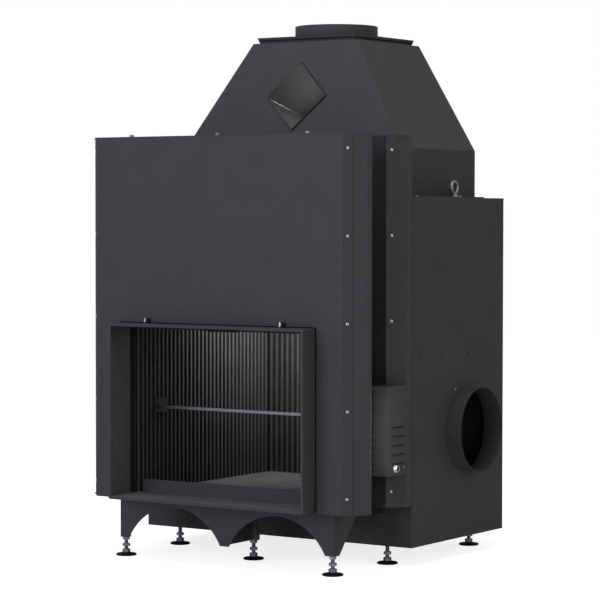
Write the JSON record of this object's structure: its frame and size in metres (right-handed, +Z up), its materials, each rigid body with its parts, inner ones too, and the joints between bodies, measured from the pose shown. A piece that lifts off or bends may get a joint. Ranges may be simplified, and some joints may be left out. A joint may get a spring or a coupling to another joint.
{
  "type": "fireplace",
  "caption": "Deep built-in kitchen fireplace: lifting glass door in a bevelled front casing, ribbed firebox with a motor-driven spit, smoke hood with flue collar, arched apron and feet",
  "frame": {"origin": "On the floor, at the centre of the middle levelling foot's pad, in the plane of symmetry of the casings.", "axes": "+Z up. The opening faces -Y, so +Y runs into the depth. +X is to the right for someone who faces the opening; the louvred motor box and the air spigot are on that side."},
  "size_m": [0.9825, 0.896, 1.566],
  "materials": {
    "casing_paint": "matt dark grey powder coat",
    "body_paint": "matt dark grey heat paint",
    "lining": "pressed dark refractory, ribbed",
    "zinc_steel": "zinc plated",
    "spit_steel": "plain ground",
    "weight_iron": "raw",
    "pane": "clear glass ceramic",
    "gasket": "flat woven glass tape",
    "shoe_brass": "plain"
  },
  "bodies": {
    "fireplace": {"front_casing_cover": "casing_paint", "front_casing_pan": "casing_paint", "rear_casing_cover": "casing_paint", "rear_casing_pan": "casing_paint", "casing_rivets": "zinc_steel", "casing_bolts": "zinc_steel", "opening_frame": "casing_paint", "opening_sill": "casing_paint", "door_rail_left": "body_paint", "door_rail_right": "body_paint", "firebox_shell": "body_paint", "baffle": "lining", "lining_left": "lining", "lining_right": "lining", "lining_back": "lining", "hearth_plates": "lining", "log_retainer": "body_paint", "spit_bracket": "body_paint", "spit_bush": "zinc_steel", "motor_box": "casing_paint", "motor_box_lid": "casing_paint", "spit_motor": "zinc_steel", "cable_gland": "zinc_steel", "body_jacket": "body_paint", "body_front_plate": "body_paint", "body_top_plate": "body_paint", "body_base": "body_paint", "foot_nut_plates": "body_paint", "body_top_covers": "body_paint", "body_screws": "zinc_steel", "lifting_eyes": "zinc_steel", "air_spigot": "body_paint", "hood_skirt": "body_paint", "hood": "body_paint", "tube_upper": "body_paint", "tube_lower": "body_paint", "flue_tray": "body_paint", "flue_collar": "body_paint", "apron": "casing_paint", "middle_leg": "casing_paint", "lock_nuts": "zinc_steel"},
    "door": {"door_frame": "casing_paint", "door_gasket": "gasket", "door_glass": "pane", "door_handle": "casing_paint", "door_shoes": "shoe_brass"},
    "weights": {"counterweights": "weight_iron"},
    "left_pulley": {"pulley_left": "zinc_steel"},
    "right_pulley": {"pulley_right": "zinc_steel"},
    "left_latch": {"latch_left": "casing_paint"},
    "right_latch": {"latch_right": "casing_paint"},
    "spit": {"spit_bar": "spit_steel", "spit_drive": "spit_steel"},
    "foot_middle_body": {"foot_middle": "zinc_steel"},
    "foot_front_left_body": {"foot_front_left": "zinc_steel"},
    "foot_front_right_body": {"foot_front_right": "zinc_steel"},
    "foot_body_front_left_body": {"foot_body_front_left": "zinc_steel"},
    "foot_body_front_right_body": {"foot_body_front_right": "zinc_steel"},
    "foot_body_rear_left_body": {"foot_body_rear_left": "zinc_steel"},
    "foot_body_rear_right_body": {"foot_body_rear_right": "zinc_steel"}
  },
  "joints": [
    {"name": "door_slide", "type": "slide", "parent": "fireplace", "child": "door", "axis": [0, 0, 1], "range_m": [-0.478, 0]},
    {"name": "weights_slide", "type": "slide", "parent": "fireplace", "child": "weights", "axis": [0, 0, 1], "range_m": [0, 0.478]},
    {"name": "left_pulley_turn", "type": "hinge", "parent": "fireplace", "child": "left_pulley", "pos_m": [-0.367, -0.141, 1.19], "axis": [0, 1, 0], "range_deg": [0, 1305]},
    {"name": "right_pulley_turn", "type": "hinge", "parent": "fireplace", "child": "right_pulley", "pos_m": [0.367, -0.141, 1.19], "axis": [0, 1, 0], "range_deg": [-1305, 0]},
    {"name": "left_latch_turn", "type": "hinge", "parent": "fireplace", "child": "left_latch", "pos_m": [-0.2335, -0.192, 0.6955], "axis": [0, 1, 0], "range_deg": [0, 90]},
    {"name": "right_latch_turn", "type": "hinge", "parent": "fireplace", "child": "right_latch", "pos_m": [0.2335, -0.192, 0.6955], "axis": [0, 1, 0], "range_deg": [0, 90]},
    {"name": "spit_turn", "type": "hinge", "parent": "fireplace", "child": "spit", "pos_m": [0, -0.026, 0.431], "axis": [1, 0, 0], "continuous": true},
    {"name": "foot_middle_screw", "type": "slide", "parent": "fireplace", "child": "foot_middle_body", "axis": [0, 0, 1], "range_m": [-0.02, 0]},
    {"name": "foot_front_left_screw", "type": "slide", "parent": "fireplace", "child": "foot_front_left_body", "axis": [0, 0, 1], "range_m": [-0.02, 0]},
    {"name": "foot_front_right_screw", "type": "slide", "parent": "fireplace", "child": "foot_front_right_body", "axis": [0, 0, 1], "range_m": [-0.02, 0]},
    {"name": "foot_body_front_left_screw", "type": "slide", "parent": "fireplace", "child": "foot_body_front_left_body", "axis": [0, 0, 1], "range_m": [-0.02, 0]},
    {"name": "foot_body_front_right_screw", "type": "slide", "parent": "fireplace", "child": "foot_body_front_right_body", "axis": [0, 0, 1], "range_m": [-0.02, 0]},
    {"name": "foot_body_rear_left_screw", "type": "slide", "parent": "fireplace", "child": "foot_body_rear_left_body", "axis": [0, 0, 1], "range_m": [-0.02, 0]},
    {"name": "foot_body_rear_right_screw", "type": "slide", "parent": "fireplace", "child": "foot_body_rear_right_body", "axis": [0, 0, 1], "range_m": [-0.02, 0]}
  ],
  "couplings": [
    {"joint": "weights_slide", "follows": "door_slide", "ratio": -1},
    {"joint": "left_pulley_turn", "follows": "door_slide", "rad_per_m": -47.619},
    {"joint": "right_pulley_turn", "follows": "door_slide", "rad_per_m": 47.619}
  ]
}
